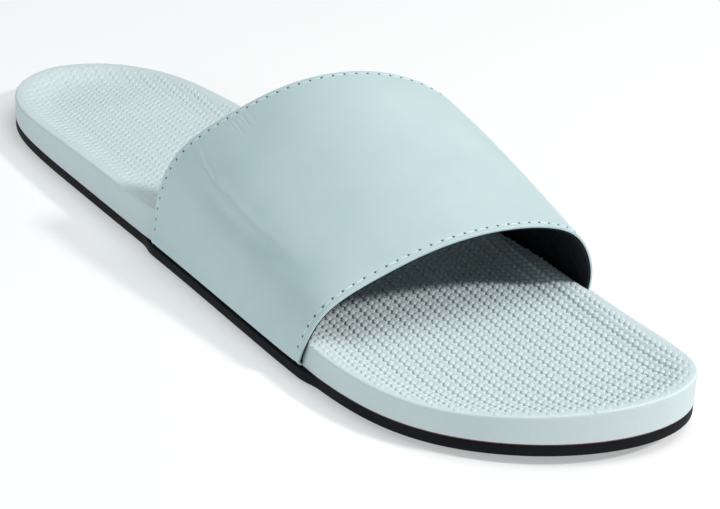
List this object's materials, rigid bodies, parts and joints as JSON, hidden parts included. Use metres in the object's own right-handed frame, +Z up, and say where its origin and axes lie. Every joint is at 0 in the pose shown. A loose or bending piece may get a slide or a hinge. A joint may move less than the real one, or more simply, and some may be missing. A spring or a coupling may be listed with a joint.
{
  "type": "slide sandal",
  "caption": "Open slide sandal for the right foot: thin rubber outsole, dished foam footbed and one broad strap over the forefoot.",
  "frame": {"origin": "on the floor, under the middle of the sandal's bounding box", "axes": "+Z up, +Y from the toe to the heel, +X towards the big-toe side"},
  "size_m": [0.0876, 0.281, 0.0591],
  "materials": {
    "outsole": "matte black rubber",
    "footbed": "pale blue-grey moulded foam with a raised herringbone texture",
    "strap": "pale blue-grey smooth coated leather, black lining"
  },
  "bodies": {
    "root": {"outsole": "outsole", "footbed": "footbed", "strap": "strap"}
  },
  "joints": []
}
